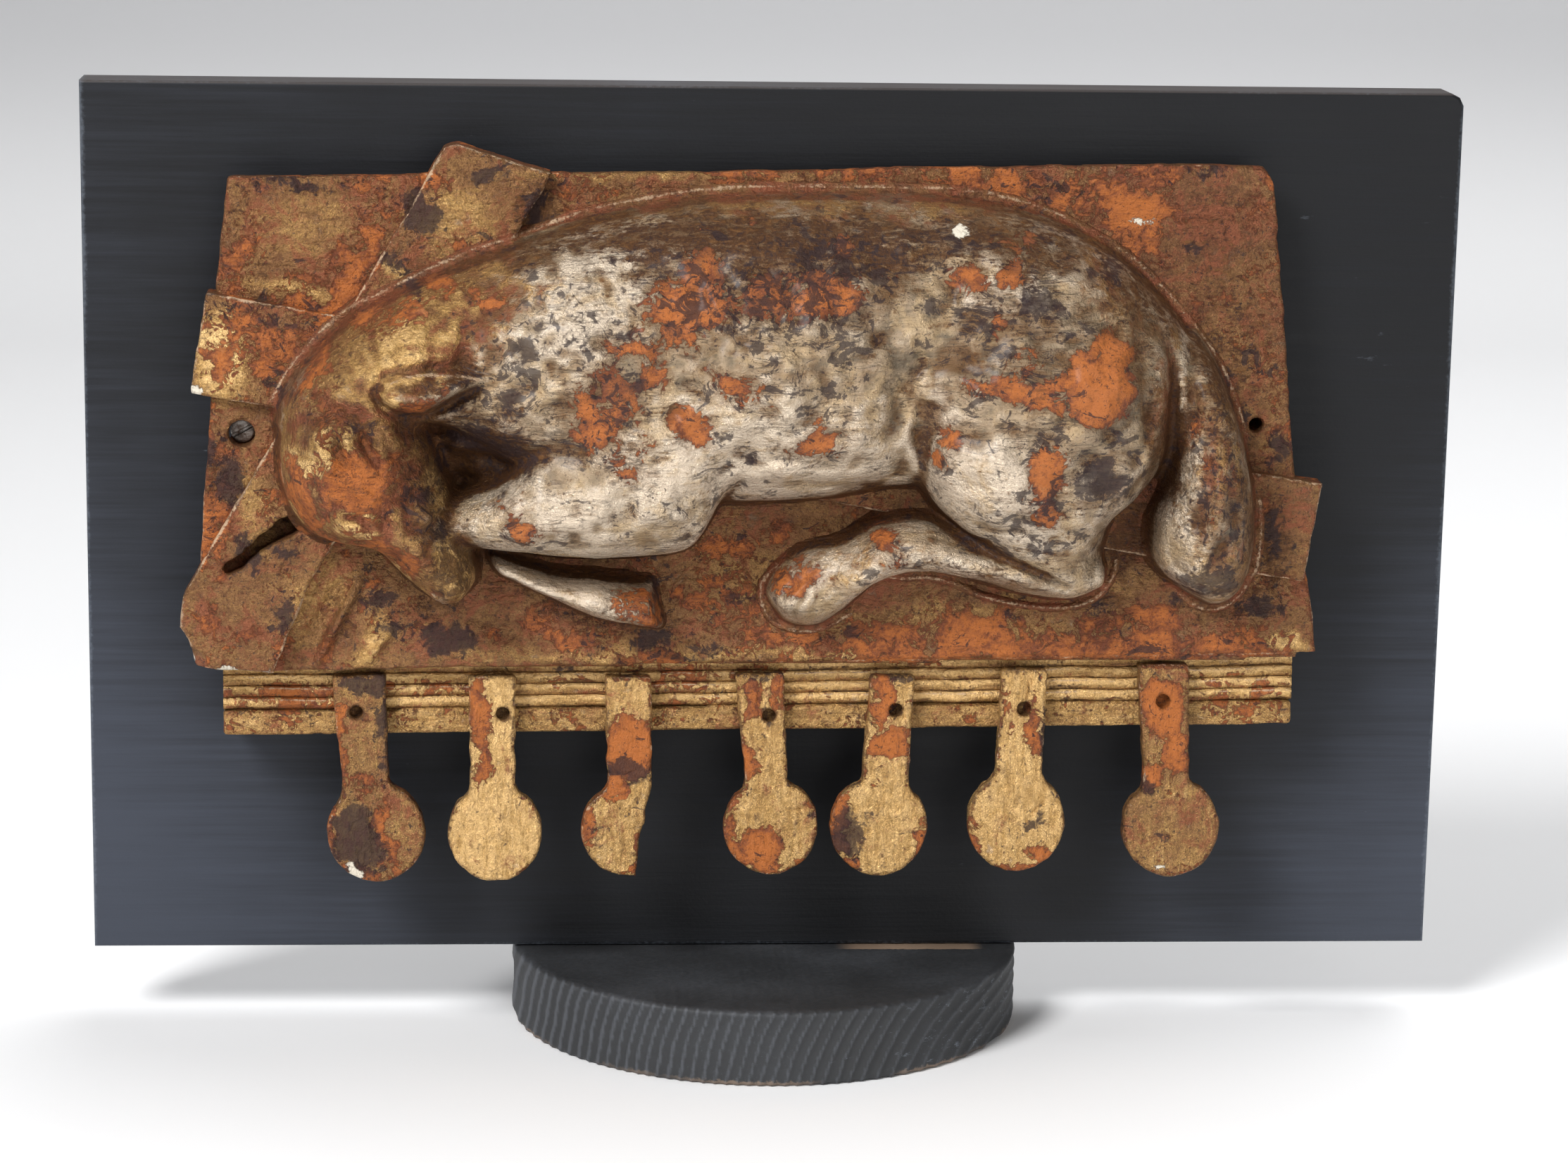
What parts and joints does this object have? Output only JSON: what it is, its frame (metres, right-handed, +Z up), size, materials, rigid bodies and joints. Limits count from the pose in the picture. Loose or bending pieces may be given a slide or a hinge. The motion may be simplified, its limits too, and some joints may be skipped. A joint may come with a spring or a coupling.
{
  "type": "gilded relief panel on a display stand",
  "caption": "Carved, gilded and silvered wood relief of a lamb lying on a cross and a sealed book, fixed to an upright black board on a round foot.",
  "frame": {"origin": "centre of the round foot's underside, which is also the centre of the bounding box in X and Y", "axes": "+Z up; +X along the board to the viewer's right; the carved side faces -Y"},
  "size_m": [0.4, 0.152, 0.2798],
  "materials": {
    "foot_paint": "black paint over pine with raised grain",
    "board_paint": "matt charcoal-black paint with faint scuffs",
    "gilded_relief": "worn gold and silver leaf on red-brown bole and white ground",
    "gilded_seal": "worn gold leaf on red-brown bole",
    "old_screw": "darkened, slightly rusty slotted head"
  },
  "bodies": {
    "root": {"round_foot": "foot_paint", "mount_board": "board_paint", "lamb_and_book": "gilded_relief", "seal_1": "gilded_seal", "seal_2": "gilded_seal", "seal_3": "gilded_seal", "seal_4": "gilded_seal", "seal_5": "gilded_seal", "seal_6": "gilded_seal", "seal_7": "gilded_seal", "fixing_screw": "old_screw"}
  },
  "joints": []
}
